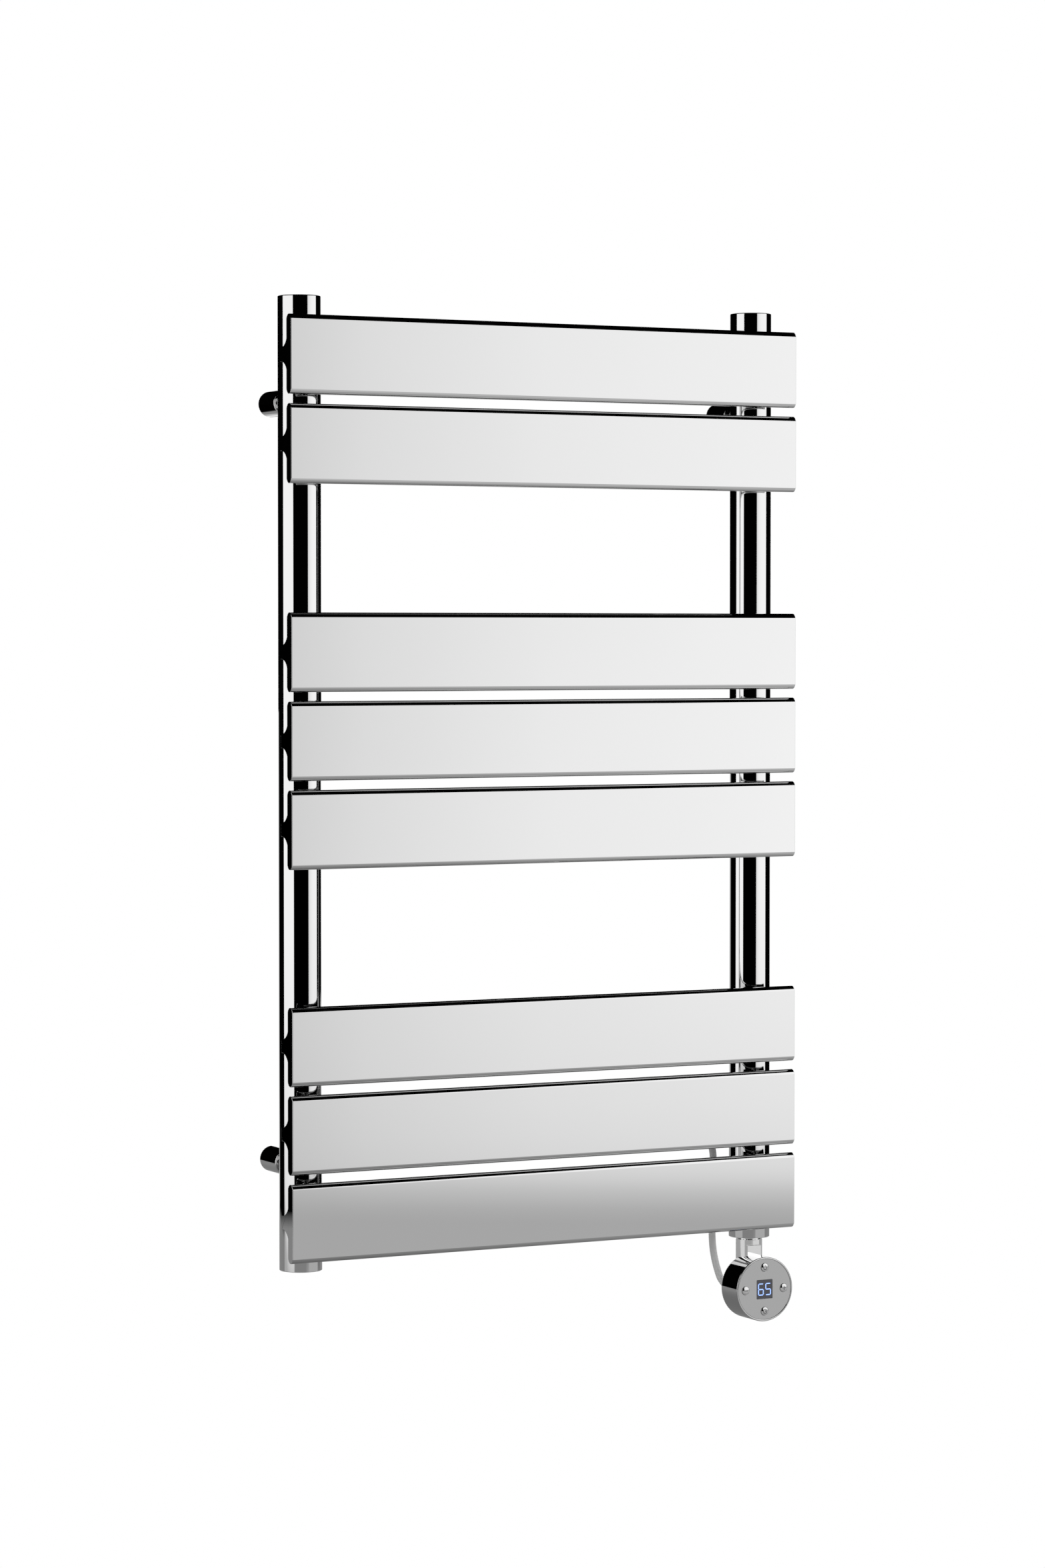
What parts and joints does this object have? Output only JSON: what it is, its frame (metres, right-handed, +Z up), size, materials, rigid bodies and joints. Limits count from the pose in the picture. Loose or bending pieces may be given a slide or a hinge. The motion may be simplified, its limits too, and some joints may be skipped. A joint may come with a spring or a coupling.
{
  "type": "towel warmer rack",
  "caption": "Wall-mounted electric towel warmer: flat panels across two upright tubes, telescopic wall sleeves, and a round control head with a display and push buttons.",
  "frame": {"origin": "centre of the four wall screws, on the wall plane", "axes": "+X right, +Y into the wall, +Z up"},
  "size_m": [0.53, 0.1, 0.9146],
  "materials": {
    "panel_chrome": "mirror-polished chrome plate",
    "tube_chrome": "mirror-polished chrome plate",
    "sleeve_chrome": "polished chrome plate",
    "fitting_chrome": "chrome-plated brass",
    "screw_steel": "turned steel",
    "element_steel": "drawn stainless sheath",
    "seal_rubber": "moulded rubber",
    "head_chrome": "chromed shell, satin on the face",
    "button_chrome": "domed polished caps",
    "display_glass": "smoked gloss window",
    "display_black": "black display block",
    "board_green": "green solder mask",
    "switch_black": "moulded black",
    "relay_black": "moulded black",
    "terminal_white": "moulded white",
    "cable_grey": "light grey soft sheath",
    "tie_white": "moulded nylon",
    "core_plastic": "coloured insulation",
    "ferrule_tin": "tinned crimp ferrules"
  },
  "bodies": {
    "wall_mounts": {"upper_left_wall_sleeve": "sleeve_chrome", "upper_right_wall_sleeve": "sleeve_chrome", "lower_left_wall_sleeve": "sleeve_chrome", "lower_right_wall_sleeve": "sleeve_chrome", "lower_left_lock_screw": "screw_steel", "lock_grub_screws": "screw_steel"},
    "rack": {"panel_1": "panel_chrome", "panel_2": "panel_chrome", "panel_3": "panel_chrome", "panel_4": "panel_chrome", "panel_5": "panel_chrome", "panel_6": "panel_chrome", "panel_7": "panel_chrome", "panel_8": "panel_chrome", "panel_end_caps": "panel_chrome", "left_collector": "tube_chrome", "right_collector": "tube_chrome", "collector_top_caps": "tube_chrome", "left_saddles": "tube_chrome", "right_saddles": "tube_chrome", "bracket_posts": "tube_chrome", "collector_bottom_fittings": "fitting_chrome", "blanking_plug": "fitting_chrome", "air_vent_body": "fitting_chrome", "element_neck": "fitting_chrome", "rear_cover_screws": "screw_steel", "heating_element": "element_steel", "temperature_sensor": "element_steel", "fitting_seals": "seal_rubber", "face_gasket": "seal_rubber", "head_casing": "head_chrome", "face_plate": "head_chrome", "rear_cover": "head_chrome", "display_window": "display_glass", "display_module": "display_black", "circuit_board": "board_green", "tact_switches": "switch_black", "power_relay": "relay_black", "terminal_block": "terminal_white", "strain_relief": "cable_grey", "cable_run": "cable_grey", "cable_hank": "cable_grey", "cable_tail": "cable_grey", "cable_tie": "tie_white", "cable_cores": "core_plastic", "core_ferrules": "ferrule_tin"},
    "vent_screw": {"vent_screw": "screw_steel"},
    "button_power": {"button_power": "button_chrome"},
    "button_minus": {"button_minus": "button_chrome"},
    "button_plus": {"button_plus": "button_chrome"},
    "button_timer": {"button_timer": "button_chrome"}
  },
  "joints": [
    {"name": "wall_distance", "type": "slide", "parent": "wall_mounts", "child": "rack", "axis": [0, 1, 0], "range_m": [-0.01, 0.005]},
    {"name": "vent_screw_turn", "type": "hinge", "parent": "rack", "child": "vent_screw", "pos_m": [-0.225, -0.038, 0.395], "axis": [0, 1, 0], "range_deg": [0, 540]},
    {"name": "button_power_press", "type": "slide", "parent": "rack", "child": "button_power", "axis": [0, 1, 0], "range_m": [0, 0.0008], "stiffness_N_per_m": 1500},
    {"name": "button_minus_press", "type": "slide", "parent": "rack", "child": "button_minus", "axis": [0, 1, 0], "range_m": [0, 0.0008], "stiffness_N_per_m": 1500},
    {"name": "button_plus_press", "type": "slide", "parent": "rack", "child": "button_plus", "axis": [0, 1, 0], "range_m": [0, 0.0008], "stiffness_N_per_m": 1500},
    {"name": "button_timer_press", "type": "slide", "parent": "rack", "child": "button_timer", "axis": [0, 1, 0], "range_m": [0, 0.0008], "stiffness_N_per_m": 1500}
  ]
}
